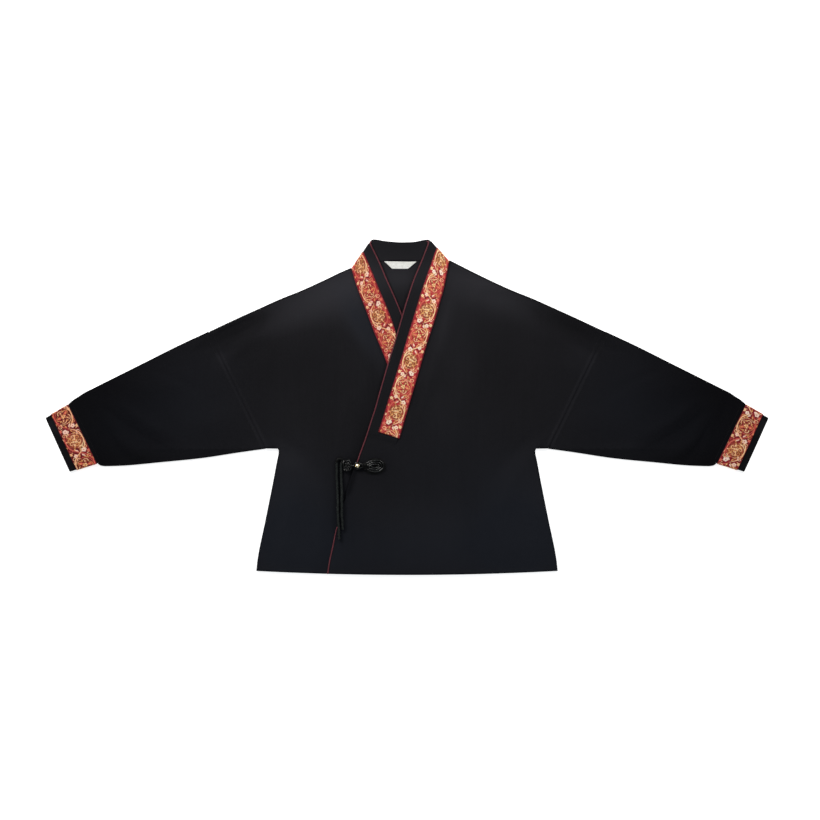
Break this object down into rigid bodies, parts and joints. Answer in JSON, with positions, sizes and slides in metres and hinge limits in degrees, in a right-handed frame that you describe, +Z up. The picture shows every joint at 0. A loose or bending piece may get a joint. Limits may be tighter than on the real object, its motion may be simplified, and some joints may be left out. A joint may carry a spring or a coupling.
{
  "type": "tang jacket with a cross collar, laid flat",
  "caption": "Black cross-collar jacket laid flat, with brocade ribbon on collar and cuffs, dark red piping and a cord frog.",
  "frame": {"origin": "middle of the footprint of the jacket as it lies, on the surface it rests on", "axes": "+X towards the wearer's left sleeve, +Y from hem to collar, +Z up from the surface, out of the front"},
  "size_m": [1.4414, 0.6694, 0.0176],
  "materials": {
    "black_cloth": "matte wool-type twill",
    "brocade": "woven silk-type brocade ribbon, red ground with gold, cream and crimson scrolls",
    "wine_piping": "matte dark red bias piping",
    "label_white": "plain woven label, blank",
    "black_satin": "satin cord",
    "gold": "polished pale gold"
  },
  "bodies": {
    "root": {"back": "black_cloth", "front_right": "black_cloth", "front_left": "black_cloth", "sleeve_right": "black_cloth", "sleeve_left": "black_cloth", "cuff_right": "black_cloth", "cuff_left": "black_cloth", "cuff_ribbon_right": "brocade", "cuff_ribbon_left": "brocade", "collar": "black_cloth", "collar_ribbon": "brocade", "piping": "wine_piping", "label": "label_white", "frog_loop": "black_satin", "frog_knot": "black_satin", "frog_tail_a": "black_satin", "frog_tail_b": "black_satin", "frog_bead": "gold"}
  },
  "joints": []
}
